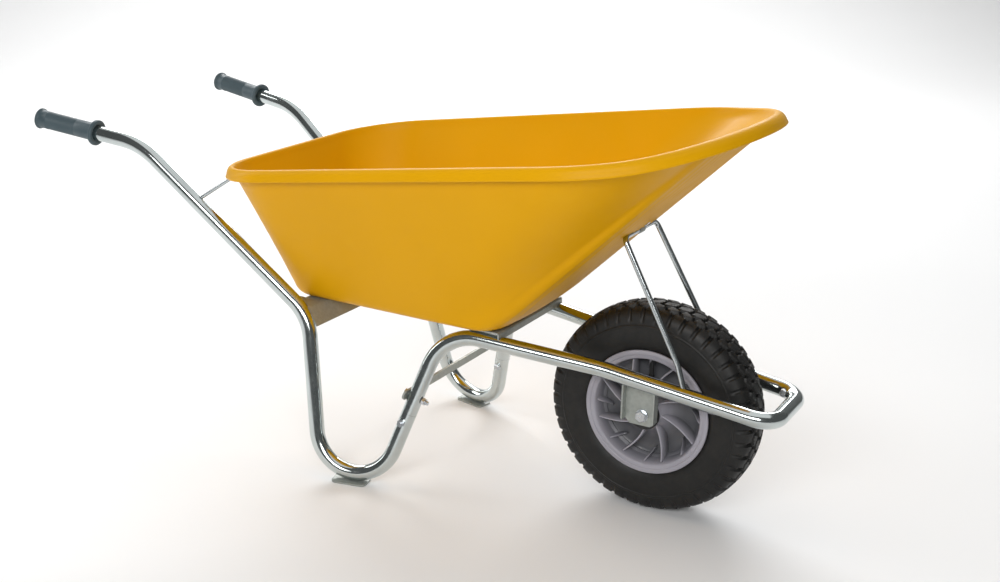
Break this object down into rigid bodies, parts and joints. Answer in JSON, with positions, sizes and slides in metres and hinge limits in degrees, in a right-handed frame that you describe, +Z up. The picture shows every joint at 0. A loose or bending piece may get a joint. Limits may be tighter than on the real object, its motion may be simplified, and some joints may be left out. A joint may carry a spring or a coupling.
{
  "type": "wheelbarrow",
  "caption": "Wheelbarrow with a deep moulded tray on a bent steel tube frame, braced legs, hand grips and a pneumatic spoked wheel under a raised nose",
  "frame": {"origin": "on the ground, in the middle of the overall length and width", "axes": "+X forwards to the wheel and nose, +Y to the barrow's left, +Z up"},
  "size_m": [1.532, 0.6374, 0.7298],
  "materials": {
    "tray": "satin moulded",
    "zinc_tube": "bright zinc plated",
    "zinc_rod": "bright zinc plated",
    "galvanised_plate": "dull galvanised",
    "fastener": "zinc plated",
    "grip": "matte moulded",
    "rim": "satin moulded",
    "tyre": "matte",
    "inner_tube": "matte",
    "bush": "moulded"
  },
  "bodies": {
    "frame": {"tray": "tray", "front_loop_tube": "zinc_tube", "right_handle_tube": "zinc_tube", "left_handle_tube": "zinc_tube", "front_tray_strut": "zinc_rod", "right_tray_stay": "zinc_rod", "left_tray_stay": "zinc_rod", "rear_crossmember": "galvanised_plate", "front_crossmember": "galvanised_plate", "leg_brace": "galvanised_plate", "right_foot_skid": "galvanised_plate", "left_foot_skid": "galvanised_plate", "strut_clamp": "galvanised_plate", "right_wheel_bracket": "galvanised_plate", "left_wheel_bracket": "galvanised_plate", "axle_bolt": "fastener", "axle_nut": "fastener", "axle_washers": "fastener", "axle_sleeves": "fastener", "tray_bolts": "fastener", "tray_washers": "fastener", "tray_nuts": "fastener", "leg_joint_bolts": "fastener", "leg_joint_nuts": "fastener", "brace_bolts": "fastener", "brace_nuts": "fastener", "nose_rivets": "fastener", "strut_clamp_bolt": "fastener", "strut_clamp_nut": "fastener", "right_grip": "grip", "left_grip": "grip"},
    "wheel": {"wheel_rim": "rim", "tyre": "tyre", "inner_tube": "inner_tube", "valve_stem": "inner_tube", "valve_cap": "inner_tube", "wheel_bushes": "bush"}
  },
  "joints": [
    {"name": "wheel_spin", "type": "hinge", "parent": "frame", "child": "wheel", "pos_m": [0.50798, 0, 0.2], "axis": [0, 1, 0], "continuous": true}
  ]
}
